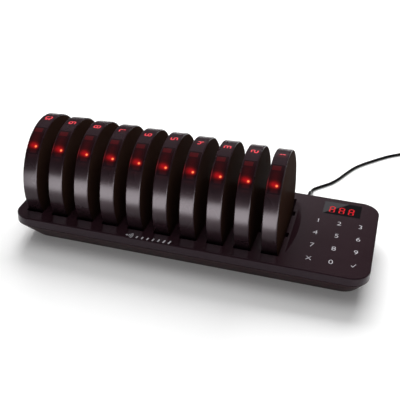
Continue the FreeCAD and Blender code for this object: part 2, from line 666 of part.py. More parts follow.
def route_tube(points):
    """A round tube along straight runs joined by tangent arcs, each as large as its runs allow."""
    corners = [V(*p) for p in points]
    edges, at, radii, length = [], corners[0], [], 0.0
    for before, corner, after in zip(corners, corners[1:], corners[2:]):
        run_in, run_out = (before - corner), (after - corner)
        half_turn = (math.pi - run_in.getAngle(run_out)) / 2
        back = FREE_RUN_SHARE * min(run_in.Length, run_out.Length)
        radius = back / math.tan(half_turn)
        start = corner + run_in.normalize() * back
        end = corner + run_out.normalize() * back
        towards = (run_in + run_out).normalize()
        centre = corner + towards * (radius / math.cos(half_turn))
        edges.append(Part.LineSegment(at, start).toShape())
        edges.append(Part.Arc(start, centre - towards * radius, end).toShape())
        radii.append(radius)
        at = end
    edges.append(Part.LineSegment(at, corners[-1]).toShape())
    path = Part.Wire(edges)
    first = (corners[1] - corners[0]).normalize()
    ring = Part.Wire([Part.Circle(corners[0], first, CORD_RADIUS).toShape()])
    tube = path.makePipeShell([ring], True, False)
    section = math.pi * CORD_RADIUS ** 2
    print("bend radii", [round(r, 1) for r in radii], "length", round(path.Length, 1))
    print("volume over section times length", round(tube.Volume / (section * path.Length), 4))
    return tube


def cord_coil():
    inner, outer = COIL_RADII
    ring = z_cylinder(outer, 0, COIL_HIGH, *COIL_CENTRE).cut(z_cylinder(inner, 0, COIL_HIGH, *COIL_CENTRE))
    return ring.makeFillet(1.2, [e for e in ring.Edges if len(e.Vertexes) == 1])


def cord():
    coil = cord_coil()
    tubes = [route_tube(points).cut(coil) for points in (CORD_OUT, CORD_BACK)]
    longest = [max(tube.Solids, key=lambda s: s.Volume) for tube in tubes]
    return Part.makeCompound(longest)


def dc_plug():
    """The moulded plug, with its barrel in the jack and a tapered tail round the lead."""
    grip_end = JACK_FACE_Y + PLUG_LONG
    body = y_cylinder(PLUG_RADIUS, JACK_FACE_Y, grip_end, JACK_X, JACK_Z)
    front = [e for e in body.Edges if len(e.Vertexes) == 1 and e.BoundBox.YMax < JACK_FACE_Y + 0.01]
    body = body.makeChamfer(0.6, front)
    tail = Part.makeCone(PLUG_RADIUS - 0.9, CORD_RADIUS + 0.4, PLUG_TAPER,
                         V(JACK_X, grip_end, JACK_Z), V(0, 1, 0))
    barrel_start = JACK_FACE_Y - BARREL_LONG
    barrel = y_cylinder(BARREL_RADIUS, barrel_start, JACK_FACE_Y, JACK_X, JACK_Z)
    hole = y_cylinder(PIN_RADIUS + 0.15, barrel_start - 0.1, JACK_FACE_Y - 0.5, JACK_X, JACK_Z)
    return body.fuse([tail, barrel]).cut(hole).removeSplitter()


def adapter_body():
    (x, y), (wide, long, high) = ADAPTER_LOW, ADAPTER_SIZE
    body = box(x, x + wide, y, y + long, 0, high)
    upright = [e for e in body.Edges if e.BoundBox.ZLength > 1]
    body = body.makeFillet(6.0, upright)
    rims = [e for e in body.Edges if e.BoundBox.ZLength < 0.01]
    return body.makeFillet(2.0, rims)


def adapter_blades():
    thick, wide, high = BLADE_SIZE
    blades = []
    for side in (-0.5, 0.5):
        x = ADAPTER_LEAD[0] + side * BLADE_SPACING
        blade = box(x - thick / 2, x + thick / 2, BLADE_Y - wide / 2, BLADE_Y + wide / 2,
                    ADAPTER_SIZE[2], ADAPTER_SIZE[2] + high)
        tip = [e for e in blade.Edges if e.BoundBox.ZMin > ADAPTER_SIZE[2] + high - 0.01]
        hole = x_cylinder(1.6, x - 2, x + 2, BLADE_Y, ADAPTER_SIZE[2] + high - 4.0)
        blades.append(blade.makeChamfer(0.4, tip).cut(hole))
    return Part.makeCompound(blades)


def adapter_strain_relief():
    x, z = ADAPTER_LEAD
    start = V(x, ADAPTER_END_Y, z)
    return Part.makeCone(RELIEF_RADIUS, CORD_RADIUS + 0.4, RELIEF_LONG, start, V(0, 1, 0))


BASE_PIECES = (
    top_housing, bottom_housing, display_window, display_module, keypad_board, main_board,
    rf_shield_can, charging_board, charging_contacts, dc_jack, antenna, base_buzzer,
    ribbon_cables, rubber_feet, housing_screws, cord_coil, cord, dc_plug, adapter_body,
    adapter_blades, adapter_strain_relief,
)


def main():
    os.makedirs("parts", exist_ok=True)
    nodes = {piece.__name__: piece() for piece in BASE_PIECES}
    nodes.update(pager_nodes())
    for name, shape in sorted(nodes.items()):
        if not shape.isValid():
            print("not valid:", name)
        shape.exportStep(f"parts/{name}.step")
        print(name, len(shape.Solids), "solid(s)", round(shape.Volume, 1), "mm3")
    print(len(nodes), "nodes")


main()
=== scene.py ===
import math

import bmesh
import bpy
from mathutils import Matrix, Vector


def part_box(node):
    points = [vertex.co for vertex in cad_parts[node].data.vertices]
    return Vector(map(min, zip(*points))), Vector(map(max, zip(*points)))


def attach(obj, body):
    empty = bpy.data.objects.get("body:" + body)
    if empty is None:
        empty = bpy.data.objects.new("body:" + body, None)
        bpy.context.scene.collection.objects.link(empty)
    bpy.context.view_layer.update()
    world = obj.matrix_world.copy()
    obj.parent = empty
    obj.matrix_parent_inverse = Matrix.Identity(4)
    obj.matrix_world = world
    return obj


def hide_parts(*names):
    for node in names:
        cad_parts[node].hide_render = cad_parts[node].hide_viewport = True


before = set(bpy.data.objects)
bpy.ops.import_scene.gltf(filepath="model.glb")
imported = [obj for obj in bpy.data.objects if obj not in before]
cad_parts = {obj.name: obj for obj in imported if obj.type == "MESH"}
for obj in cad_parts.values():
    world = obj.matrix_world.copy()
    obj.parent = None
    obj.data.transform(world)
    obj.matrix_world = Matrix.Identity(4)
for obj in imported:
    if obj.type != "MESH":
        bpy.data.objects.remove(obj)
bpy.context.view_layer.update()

MM = 0.001

# Pagers
PAGER_COUNT = 10
PAGER_RADIUS = 50.0
PAGER_PITCH = 24.28
PAGER_LEAN = 2.756            # degrees, tops to the left
FIRST_PAGER_X = 79.6
PAGER_AXIS_Z = 53.97
WINDOW_LOW = 40.0             # the light window's lower end, in degrees round the rim from the front

# Base
BASE_TOP = 32.4
KEY_COLUMNS = (107.6, 126.7, 145.9)
KEY_ROWS = (18.9, -1.95, -22.7, -43.5)
KEY_MARKS = ("123", "456", "789", "X0+")
LEGEND_HIGH = 6.0

# Camera
CAMERA_AT = (0.1497, -0.5974, 0.4195)
CAMERA_AZIMUTH = 14.134       # degrees
CAMERA_ELEVATION = 31.37
CAMERA_ROLL = 2.32
CAMERA_LENS = 70.52
SENSOR = 36.0

# Lead
LEAD_DIAMETER = 3.0
PLUG_END = (90.0, 85.2, 16.0)
COIL_CENTRE = (204.8, 233.4)
COIL_COLUMNS = (18.75, 15.75)
COIL_TURNS = 8.3125
COIL_START = 112.0            # degrees
COIL_LAYERS = 5
PLACE_SHIFT = 1 / 8           # share of a turn that the step to the next place takes
POINTS_PER_TURN = 16


# ---- camera and lead ----

def place_camera():
    """The camera at its place, turned by its azimuth, its elevation and its roll."""
    azimuth = math.radians(CAMERA_AZIMUTH)
    elevation = math.radians(CAMERA_ELEVATION)
    roll = math.radians(CAMERA_ROLL)
    forward = Vector((-math.sin(azimuth) * math.cos(elevation),
                      math.cos(azimuth) * math.cos(elevation), -math.sin(elevation)))
    level = Vector((math.cos(azimuth), math.sin(azimuth), 0))
    above = level.cross(forward)
    right = level * math.cos(roll) + above * math.sin(roll)
    up = above * math.cos(roll) - level * math.sin(roll)
    data = bpy.data.cameras.new("camera")
    data.sensor_width = SENSOR
    data.lens = CAMERA_LENS
    data.clip_start = 0.01
    data.clip_end = 50
    camera = bpy.data.objects.new("camera", data)
    bpy.context.collection.objects.link(camera)
    turn = Matrix((right, up, -forward)).transposed().to_4x4()
    camera.matrix_world = Matrix.Translation(CAMERA_AT) @ turn
    bpy.context.scene.camera = camera


LEAD_OUT = [
    PLUG_END, (90.0, 94.0, 16.0), (90.0, 102.0, 12.2), (89.9, 109.3, 6.5), (89.8, 117.0, 2.7),
    (89.6, 125.2, 1.6), (94.8, 132.0, 1.6), (101.5, 139.0, 1.6), (108.3, 147.3, 1.6),
    (113.7, 157.4, 1.6), (118.3, 168.4, 1.6), (123.1, 179.2, 1.6), (128.7, 190.2, 1.6),
    (136.0, 200.2, 1.6), (144.6, 210.0, 1.6), (153.6, 220.0, 1.6), (162.9, 229.4, 1.6),
    (173.0, 237.4, 1.6), (181.2, 243.0, 1.6), (189.4, 247.4, 1.6),
]
LEAD_BACK = [
    (223.3, 224.6, 12.6), (222.8, 216.5, 7.8), (222.3, 207.8, 3.6), (221.8, 198.3, 1.6),
    (221.3, 188.5, 3.4), (220.9, 179.6, 7.4), (220.7, 171.5, 12.6), (220.5, 163.0, 16.0),
    (220.5, 154.0, 16.0),
]


def coil_places():
    """Column radius and height of each turn: two to a layer, going to and fro."""
    places = []
    for layer in range(COIL_LAYERS):
        height = LEAD_DIAMETER * (layer + 0.5)
        columns = COIL_COLUMNS if layer % 2 == 0 else COIL_COLUMNS[::-1]
        places += [(column, height) for column in columns]
    return places


def coil_points():
    """The turns. A later turn shifts to its next place earlier, so that none meets another."""
    places = coil_places()
    swell = 1 / math.cos(math.pi / POINTS_PER_TURN)
    points = []
    for step in range(round(COIL_TURNS * POINTS_PER_TURN) + 1):
        turns = step / POINTS_PER_TURN
        whole = int(turns)
        start = (len(places) - 2 - whole) * PLACE_SHIFT
        shift = min(max((turns - whole - start) / PLACE_SHIFT, 0), 1)
        here, there = places[whole], places[min(whole + 1, len(places) - 1)]
        radius = (here[0] + (there[0] - here[0]) * shift) * swell
        height = here[1] + (there[1] - here[1]) * shift
        angle = math.radians(COIL_START) - turns * math.tau
        points.append((COIL_CENTRE[0] + radius * math.cos(angle),
                       COIL_CENTRE[1] + radius * math.sin(angle), height))
    return points


def make_lead():
    route = LEAD_OUT + coil_points() + LEAD_BACK
    data = bpy.data.curves.new("lead", "CURVE")
    data.dimensions = "3D"
    data.resolution_u = 6
    data.bevel_depth = 1.0    # the thickness is in the points' radius, which the curve's box counts
    data.bevel_resolution = 5
    data.use_fill_caps = True
    spline = data.splines.new("NURBS")
    spline.points.add(len(route) - 1)
    for point, place in zip(spline.points, route):
        point.co = (place[0] * MM, place[1] * MM, place[2] * MM, 1)
        point.radius = LEAD_DIAMETER / 2 * MM
    spline.order_u = 3
    spline.use_endpoint_u = True
    lead = bpy.data.objects.new("lead", data)
    bpy.context.collection.objects.link(lead)
    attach(lead, "base")
    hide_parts("cord", "cord_coil")
    return lead


place_camera()
lead = make_lead()


# ---- material nodes ----

class Paint:
    """One material and short calls that add nodes to it."""

    def __init__(self, name):
        self.material = bpy.data.materials.new(name)
        self.material.use_nodes = True
        self.nodes = self.material.node_tree.nodes
        self.links = self.material.node_tree.links
        self.shader = self.nodes["Principled BSDF"]
        self.place = self.add("ShaderNodeTexCoord").outputs["Object"]

    def add(self, kind, **settings):
        node = self.nodes.new(kind)
        for key, value in settings.items():
            setattr(node, key, value)
        return node

    def feed(self, socket, value):
        if isinstance(value, bpy.types.NodeSocket):
            self.links.new(value, socket)
        else:
            socket.default_value = value

    def math(self, operation, *values):
        node = self.add("ShaderNodeMath", operation=operation)
        for socket, value in zip(node.inputs, values):
            self.feed(socket, value)
        return node.outputs[0]

    def noise(self, scale, detail=3.0):
        node = self.add("ShaderNodeTexNoise")
        self.feed(node.inputs["Vector"], self.place)
        node.inputs["Scale"].default_value = scale
        node.inputs["Detail"].default_value = detail
        return node.outputs["Fac"]

    def mix(self, share, first, second):
        node = self.add("ShaderNodeMix", data_type="RGBA")
        self.feed(node.inputs[0], share)
        self.feed(node.inputs[6], first)
        self.feed(node.inputs[7], second)
        return node.outputs[2]

    def spread(self, value, low, high, out_low, out_high, smooth=False):
        node = self.add("ShaderNodeMapRange")
        if smooth:
            node.interpolation_type = "SMOOTHSTEP"
        for socket, given in zip(node.inputs, (value, low, high, out_low, out_high)):
            self.feed(socket, given)
        return node.outputs[0]

    def scaled(self, colour, strength):
        node = self.add("ShaderNodeVectorMath", operation="SCALE")
        node.inputs[0].default_value = colour
        self.feed(node.inputs["Scale"], strength)
        return node.outputs[0]

    def total(self, parts):
        result = parts[0]
        for part in parts[1:]:
            node = self.add("ShaderNodeVectorMath", operation="ADD")
            self.feed(node.inputs[0], result)
            self.feed(node.inputs[1], part)
            result = node.outputs[0]
        return result

    def set(self, name, value):
        self.feed(self.shader.inputs[name], value)

    def bump(self, height, strength, distance):
        node = self.add("ShaderNodeBump")
        node.inputs["Strength"].default_value = strength
        node.inputs["Distance"].default_value = distance
        self.feed(node.inputs["Height"], height)
        self.feed(self.shader.inputs["Normal"], node.outputs[0])


NOISE_RANGE = (0.3, 0.7)      # most of a noise's values lie in here
PATCH_SCALE = 22.0            # broad uneven patches, per metre
GRAIN_SCALE = 900.0           # moulded grain, per metre
FINE_GRAIN = 1500.0
BRUSHED_GRAIN = 2400.0
GRAIN_DEPTH = 0.04 * MM
ROUGH_CHANGE = 0.12           # share by which the gloss changes from patch to patch
PLASTIC_IOR = 1.34
PLASTIC_TINT = (1.0, 0.88, 1.0, 1)
RIM_TINT = (1.0, 0.95, 1.0, 1)


def tone(colour, gain):
    return (colour[0] * gain, colour[1] * gain, colour[2] * gain, 1)


def finish_surface(paint, colour, rough, bump=0.15, grain=GRAIN_SCALE, change=0.12, metal=0.0,
                   ior=PLASTIC_IOR):
    """Slight changes of colour and gloss over a surface, and a fine moulded or brushed grain."""
    broad = paint.noise(PATCH_SCALE, 4.0)
    fine = paint.noise(grain, 2.0)
    paint.set("Base Color", paint.mix(broad, tone(colour, 1 - change), tone(colour, 1 + change)))
    smooth, dull = rough * (1 - ROUGH_CHANGE), rough * (1 + ROUGH_CHANGE)
    paint.set("Roughness", paint.spread(broad, *NOISE_RANGE, smooth, dull))
    paint.shader.inputs["Metallic"].default_value = metal
    if not metal:
        paint.shader.inputs["IOR"].default_value = ior
        paint.shader.inputs["Specular Tint"].default_value = PLASTIC_TINT
    paint.bump(fine, bump, GRAIN_DEPTH)
    return paint


def surface(name, colour, rough, **kind):
    return finish_surface(Paint(name), colour, rough, **kind).material


SHELL_COLOUR = (0.018, 0.0075, 0.0105)
SHELL_ROUGH = 0.27
HOUSING_COLOUR = (0.0170, 0.0070, 0.0098)
PRINT_COLOUR = (0.52, 0.51, 0.54)
LIT_RED = (1.0, 0.008, 0.016)

MATERIALS = {
    "housing": surface("housing_top", HOUSING_COLOUR, 0.24, bump=0.08),
    "underside": surface("housing_underside", (0.023, 0.0062, 0.0086), 0.34, bump=0.2, ior=1.09),
    "pager_cover": surface("pager_cover_plastic", SHELL_COLOUR, 0.36, bump=0.25),
    "led_block": surface("led_block_plastic", (0.028, 0.010, 0.011), 0.35),
    "circuit_board": surface("board_green", (0.012, 0.075, 0.030), 0.38, bump=0.5, change=0.3),
    "battery_wrap": surface("battery_film", (0.33, 0.35, 0.38), 0.30, bump=0.4),
    "steel": surface("brushed_steel", (0.52, 0.51, 0.50), 0.30, bump=0.3,
                     grain=BRUSHED_GRAIN, metal=1.0),
    "contact_metal": surface("gold_plate", (0.83, 0.60, 0.24), 0.24, bump=0.2, metal=1.0),
    "black_component": surface("black_component", (0.016, 0.016, 0.017), 0.42, bump=0.3),
    "rubber": surface("foot_rubber", (0.022, 0.022, 0.023), 0.72, bump=0.6, grain=FINE_GRAIN),
    "cord_jacket": surface("lead_jacket", (0.005, 0.005, 0.005), 0.40, bump=0.3,
                           grain=FINE_GRAIN, ior=1.2),
    "adapter_shell": surface("adapter_plastic", (0.017, 0.016, 0.018), 0.38, bump=0.5),
    "blade_metal": surface("nickel_blades", (0.66, 0.63, 0.56), 0.22, bump=0.2,
                           grain=BRUSHED_GRAIN, metal=1.0),
    "ribbon": surface("ribbon_film", (0.62, 0.64, 0.66), 0.40, bump=0.3),
    "print": surface("light_print", PRINT_COLOUR, 0.45, bump=0.2, change=0.05),
}


def pager_frame(number):
    """The pager's own axes: x along its axis, 0 on the right face, with the lean."""
    x = FIRST_PAGER_X - (number - 1) * PAGER_PITCH
    lean = Matrix.Rotation(math.radians(-PAGER_LEAN), 4, "Y")
    return Matrix.Translation((x * MM, 0, PAGER_AXIS_Z * MM)) @ lean


def pager_coordinates(paint, number):
    """Millimetres in from the right face, and degrees round the rim from the front."""
    origin = pager_frame(number).translation
    moved = paint.add("ShaderNodeVectorMath", operation="SUBTRACT")
    paint.feed(moved.inputs[0], paint.place)
    moved.inputs[1].default_value = origin
    turned = paint.add("ShaderNodeVectorRotate", rotation_type="Y_AXIS")
    paint.feed(turned.inputs["Vector"], moved.outputs[0])
    turned.inputs["Angle"].default_value = math.radians(PAGER_LEAN)
    parts = paint.add("ShaderNodeSeparateXYZ")
    paint.feed(parts.inputs[0], turned.outputs[0])
    across = paint.math("MULTIPLY", parts.outputs[0], -1 / MM)
    ahead = paint.math("MULTIPLY", parts.outputs[1], -1.0)
    angle = paint.math("DEGREES", paint.math("ARCTAN2", parts.outputs[2], ahead))
    return across, angle


def hill(paint, spot, middle, spread, height):
    """A soft round hill of light on the rim."""
    across, angle = spot
    side = paint.math("DIVIDE", paint.math("SUBTRACT", across, middle[0]), spread[0])
    turn = paint.math("DIVIDE", paint.math("SUBTRACT", angle, middle[1]), spread[1])
    square = paint.math("ADD", paint.math("MULTIPLY", side, side), paint.math("MULTIPLY", turn, turn))
    return paint.math("MULTIPLY", paint.math("EXPONENT", paint.math("MULTIPLY", square, -1.0)), height)


def band(paint, value, low, high, edge):
    up = paint.spread(value, low - edge, low + edge, 0.0, 1.0, smooth=True)
    down = paint.spread(value, high - edge, high + edge, 1.0, 0.0, smooth=True)
    return paint.math("MULTIPLY", up, down)


# Painted light on the rim: glow painted into the colour of the windows and shells, standing in for the
# light of the lamps inside. Places are (millimetres in from the right face, degrees from the front).
# Painted glow in the window: hot spot, glow, haze, bar and low patch.
HOT_SPOT = (4.7, 48.5)
HOT_CORE_SIZE = (0.75, 0.85)
HOT_RING_SIZE = (1.6, 1.9)
GLOW_AT = (7.4, 49.6)
GLOW_SIZE = (3.3, 3.0)
HAZE_AT = (7.4, 58.0)
HAZE_SIZE = (4.2, 9.5)
BAR_ACROSS = (3.8, 11.5)
BAR_ROUND = (65.8, 71.3)
LOW_ACROSS = (3.2, 9.4)
LOW_ROUND = (41.4, 44.6)
WINDOW_FADE = (0.5, 5.0)      # degrees over the window's lower end, from shell to window
# Painted glow on the shell: a halo round the number, a glow along the edge beside the window and a
# faint glow under the window.
HALO_ACROSS = (2.4, 9.8)
HALO_ROUND = (85.0, 91.5)
EDGE_GLOW_AT = (12.9, 50.0)
EDGE_GLOW_SIZE = (0.6, 5.0)
UNDER_GLOW_AT = (6.8, 38.5)
UNDER_GLOW_SIZE = (4.0, 2.2)


def patch(paint, spot, sides, ends, side_edge, end_edge):
    """A soft-edged four-sided patch of the rim."""
    sideways = band(paint, spot[0], *sides, side_edge)
    lengthways = band(paint, spot[1], *ends, end_edge)
    return paint.math("MULTIPLY", sideways, lengthways)


def shine(paint, light):
    paint.set("Emission Color", paint.total(light))
    paint.shader.inputs["Emission Strength"].default_value = 1.0


def window_material(number):
    """Smoked red acrylic, with the light of the lamps behind it painted on as emission: a painted hot
    spot, its painted glow and haze, a dull red painted bar and a dim painted patch near the window's
    lower end.
    """
    paint = finish_surface(Paint(f"smoked_window_painted_glow_{number:02d}"), (0.012, 0.004, 0.005), 0.10, bump=0.03)
    spot = pager_coordinates(paint, number)
    start, full = [WINDOW_LOW + degrees for degrees in WINDOW_FADE]
    fade = paint.spread(spot[1], start, full, 1.0, 0.0, smooth=True)
    own_colour = paint.shader.inputs["Base Color"].links[0].from_socket
    own_rough = paint.shader.inputs["Roughness"].links[0].from_socket
    paint.set("Base Color", paint.mix(fade, own_colour, (*SHELL_COLOUR, 1)))
    paint.set("Roughness", paint.spread(fade, 0.0, 1.0, own_rough, SHELL_ROUGH))
    uneven = paint.spread(paint.noise(420.0), *NOISE_RANGE, 0.8, 1.2)
    glow = paint.math("MULTIPLY", hill(paint, spot, GLOW_AT, GLOW_SIZE, 0.36), uneven)
    # Painted light: emission painted on the window for the hot spot, glow, haze, bar and low patch,
    # standing in for the lamps' light seen through it.
    shine(paint, [
        paint.scaled((1.0, 0.006, 0.012), glow),
        paint.scaled((1.6, 0.50, 0.13), hill(paint, spot, HOT_SPOT, HOT_CORE_SIZE, 1.0)),
        paint.scaled((1.0, 0.02, 0.03), hill(paint, spot, HOT_SPOT, HOT_RING_SIZE, 0.6)),
        paint.scaled((0.024, 0.0008, 0.001), hill(paint, spot, HAZE_AT, HAZE_SIZE, 1.0)),
        paint.scaled((0.042, 0.0008, 0.0015), patch(paint, spot, BAR_ACROSS, BAR_ROUND, 0.25, 0.35)),
        paint.scaled((0.018, 0.0010, 0.0015), patch(paint, spot, LOW_ACROSS, LOW_ROUND, 0.8, 0.8)),
    ])
    return paint.material


def shell_material(number):
    """Glossy dark plastic, with a little red glow painted into it round the lit parts, standing in for
    the red light that gets into it.
    """
    paint = finish_surface(Paint(f"pager_shell_painted_glow_{number:02d}"), SHELL_COLOUR, SHELL_ROUGH, bump=0.06)
    paint.shader.inputs["Specular Tint"].default_value = RIM_TINT
    spot = pager_coordinates(paint, number)
    # Painted light: a red halo round the number, a red glow along the edge and a faint glow under the
    # window, painted as emission.
    shine(paint, [
        paint.scaled((0.030, 0.002, 0.003), patch(paint, spot, HALO_ACROSS, HALO_ROUND, 1.6, 2.0)),
        paint.scaled((0.16, 0.003, 0.005), hill(paint, spot, EDGE_GLOW_AT, EDGE_GLOW_SIZE, 1.0)),
        paint.scaled((0.008, 0.001, 0.001), hill(paint, spot, UNDER_GLOW_AT, UNDER_GLOW_SIZE, 1.0)),
    ])
    return paint.material


def face_material():
    """The flat right face: satin and browner than the rim."""
    paint = finish_surface(Paint("pager_face_satin"), (0.036, 0.0175, 0.0125), 0.38, bump=0.05)
    paint.shader.inputs["IOR"].default_value = 1.14
    paint.shader.inputs["Specular IOR Level"].default_value = 0.002
    paint.shader.inputs["Specular Tint"].default_value = (1.0, 0.72, 0.60, 1)
    return paint.material


def lit_material(name, colour, strength):
    """A lit segment: a little uneven, with the gloss of its cover."""
    paint = finish_surface(Paint(name), (0.05, 0.004, 0.006), 0.12, bump=0.02)
    uneven = paint.spread(paint.noise(700.0), *NOISE_RANGE, 0.75, 1.2)
    paint.set("Emission Color", paint.scaled(colour, uneven))
    paint.shader.inputs["Emission Strength"].default_value = strength
    return paint.material


def lens_material():
    paint = finish_surface(Paint("display_lens_acrylic"), (0.0045, 0.0042, 0.0050), 0.012, bump=0.0)
    paint.shader.inputs["IOR"].default_value = 1.55
    return paint.material


RING_SCALE = 160.0            # gives rings about 2 mm apart
RING_DEPTH = 0.4 * MM


def ribbed_material():
    """The plug's and the adapter's tails: soft black plastic with rings round them."""
    paint = finish_surface(Paint("ribbed_tail"), (0.014, 0.013, 0.014), 0.45, bump=0.3)
    rings = paint.add("ShaderNodeTexWave", wave_type="BANDS", bands_direction="Y")
    paint.feed(rings.inputs["Vector"], paint.place)
    rings.inputs["Scale"].default_value = RING_SCALE
    paint.bump(rings.outputs["Fac"], 0.6, RING_DEPTH)
    return paint.material


MATERIALS["display_lens"] = lens_material()
MATERIALS["ribbed"] = ribbed_material()
MATERIALS["pager_face"] = face_material()
MATERIALS["lit_number"] = lit_material("lit_number", (1.0, 0.085, 0.11), 1.1)
MATERIALS["lit_digit"] = lit_material("lit_digit", LIT_RED, 0.62)
MATERIALS["dim_digit"] = lit_material("dim_digit", LIT_RED, 0.05)


# ---- the CAD nodes' materials ----

BASE_FINISH = {
    "top_housing": "housing", "bottom_housing": "underside", "display_window": "display_lens",
    "display_module": "led_block", "keypad_board": "circuit_board", "main_board": "circuit_board",
    "rf_shield_can": "steel", "charging_board": "circuit_board", "charging_contacts": "contact_metal",
    "dc_jack": "black_component", "antenna": "contact_metal", "base_buzzer": "black_component",
    "ribbon_cables": "ribbon", "rubber_feet": "rubber", "housing_screws": "steel",
    "cord": "cord_jacket", "cord_coil": "cord_jacket", "dc_plug": "ribbed",
    "adapter_body": "adapter_shell", "adapter_blades": "blade_metal",
    "adapter_strain_relief": "ribbed",
}
INNER_FINISH = {
    "circuit_board": "circuit_board", "battery": "battery_wrap", "vibration_motor": "steel",
    "motor_weight": "steel", "buzzer": "black_component", "number_display": "led_block",
    "indicator_leds": "led_block", "charge_contacts": "contact_metal", "cover_screws": "steel",
}


def give(node, material):
    """One material on the whole of a CAD node."""
    for material_slot in node.material_slots:
        material_slot.link = "OBJECT"
        material_slot.material = material


# Where a pager's inner pieces lie, in its own axes (y to the back, z up, x out of the right face)
WINDOW_INSIDE = 48.0          # radius
BOARD_X = (-3.61, -2.59)
BOARD_OUTSIDE = 46.3          # radius
CONTACTS_X = -2.6
NUMBER_BLOCK_Z = 43.3
NUMBER_BLOCK_Y = -3.3
NUMBER_BLOCK_HALF = 6.0
LIGHTS_INSIDE = 43.0          # radius
LIGHTS_Y = -10.0
LIGHTS_Z = 10.0
BUZZER_Y = 24.0
BUZZER_Z = -22.0
BUZZER_OUTSIDE = 6.7          # radius
MOTOR_X = -7.1
MOTOR_Z = -25.0
MOTOR_HALF = 3.6
MOTOR_END_Y = 2.05
SHAFT_HALF = 0.8
BATTERY_Z = 1.0
BATTERY_HALF_Y = 19.1
BATTERY_HALF_Z = 14.1


def inner_kind(place):
    """Which inner piece a spot belongs to, in the pager's own axes and millimetres."""
    x, y, z = place
    radius = math.hypot(y, z)
    if radius > WINDOW_INSIDE:
        return "light_window"
    if BOARD_X[0] < x < BOARD_X[1] and radius < BOARD_OUTSIDE:
        return "circuit_board"
    if x > CONTACTS_X:
        return "charge_contacts"
    if z > NUMBER_BLOCK_Z and abs(y - NUMBER_BLOCK_Y) < NUMBER_BLOCK_HALF:
        return "number_display"
    if radius > LIGHTS_INSIDE and y < LIGHTS_Y and z > LIGHTS_Z:
        return "indicator_leds"
    if math.hypot(y - BUZZER_Y, z - BUZZER_Z) < BUZZER_OUTSIDE:
        return "buzzer"
    off_x, off_z = abs(x - MOTOR_X), abs(z - MOTOR_Z)
    if max(off_x, off_z) < MOTOR_HALF:
        in_motor = y < MOTOR_END_Y and off_x + off_z > SHAFT_HALF
        return "vibration_motor" if in_motor else "motor_weight"
    if abs(y) < BATTERY_HALF_Y and abs(z - BATTERY_Z) < BATTERY_HALF_Z:
        return "battery"
    return "cover_screws"


def paint_insides(number, window):
    """The grouped inner pieces of a pager, each in its own material."""
    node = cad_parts[f"pager_{number:02d}_insides"]
    kinds = ["light_window"] + sorted(INNER_FINISH)
    while len(node.data.materials) < len(kinds):
        node.data.materials.append(None)
    for index, kind in enumerate(kinds):
        node.material_slots[index].link = "OBJECT"
        node.material_slots[index].material = window if index == 0 else MATERIALS[INNER_FINISH[kind]]
    inverse = pager_frame(number).inverted()
    for polygon in node.data.polygons:
        polygon.material_index = kinds.index(inner_kind((inverse @ polygon.center) / MM))


FACE_DEPTH = 0.01 * MM        # a polygon this near to x = 0 is on the flat right face


def paint_shell(number):
    """The rim and walls glossy, and the flat right face satin."""
    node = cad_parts[f"pager_{number:02d}_top_shell"]
    node.data.materials.append(None)
    finishes = (shell_material(number), MATERIALS["pager_face"])
    for material_slot, material in zip(node.material_slots, finishes):
        material_slot.link = "OBJECT"
        material_slot.material = material
    inverse = pager_frame(number).inverted()
    for polygon in node.data.polygons:
        if (inverse @ polygon.center).x > -FACE_DEPTH:
            polygon.material_index = 1


def paint_nodes():
    """Every CAD node's material. Pager 01's inner pieces are nodes of their own."""
    for name, finish in BASE_FINISH.items():
        give(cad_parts[name], MATERIALS[finish])
    for number in range(1, PAGER_COUNT + 1):
        label = f"pager_{number:02d}_"
        window = window_material(number)
        paint_shell(number)
        give(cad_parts[label + "back_cover"], MATERIALS["pager_cover"])
        if number > 1:
            paint_insides(number, window)
            continue
        give(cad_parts[label + "light_window"], window)
        for kind, finish in INNER_FINISH.items():
            give(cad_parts[label + kind], MATERIALS[finish])


paint_nodes()
lead.data.materials.append(MATERIALS["cord_jacket"])


# ---- printed marks and lit digits ----

def new_piece(name, mesh_builder, material, body):
    made = bmesh.new()
    mesh_builder(made)
    bmesh.ops.recalc_face_normals(made, faces=made.faces)
    mesh = bpy.data.meshes.new(name)
    made.to_mesh(mesh)
    made.free()
    mesh.materials.append(material)
    piece = bpy.data.objects.new(name, mesh)
    bpy.context.collection.objects.link(piece)
    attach(piece, body)
    return piece


def stroke_outline(start, end, half, steps=5):
    """A round-ended stroke's outline, in its own plane."""
    direction = Vector(end) - Vector(start)
    heading = math.atan2(direction.y, direction.x)
    outline = []
    for centre, first in ((end, -90), (start, 90)):
        for step in range(steps + 1):
            angle = heading + math.radians(first + 180 * step / steps)
            outline.append((centre[0] + half * math.cos(angle), centre[1] + half * math.sin(angle)))
    return outline


def add_plate(made, outline, lay, thick):
    """A thin raised plate with that outline. lay turns (u, v, height) into a place in the scene."""
    low = [made.verts.new(lay(u, v, 0.0)) for u, v in outline]
    high = [made.verts.new(lay(u, v, thick)) for u, v in outline]
    made.faces.new(high)
    made.faces.new(low[::-1])
    for index in range(len(outline)):
        after = (index + 1) % len(outline)
        made.faces.new((low[index], low[after], high[after], high[index]))


def flat_lay(x, y, z):
    """u to the right and v to the back, on a level face."""
    return lambda u, v, height: Vector(((x + u) * MM, (y + v) * MM, (z + height) * MM))


# Ends of the seven segments, in halves of a digit's width and height.
SEGMENTS = {
    "a": ((-1, 1), (1, 1)), "b": ((1, 1), (1, 0)), "c": ((1, 0), (1, -1)), "d": ((-1, -1), (1, -1)),
    "e": ((-1, 0), (-1, -1)), "f": ((-1, 1), (-1, 0)), "g": ((-1, 0), (1, 0)),
}
DIGITS = {"0": "abcdef", "1": "bc", "2": "abged", "3": "abgcd", "4": "fgbc", "5": "afgcd",
          "6": "afgedc", "7": "abc", "8": "abcdefg", "9": "abcdfg"}


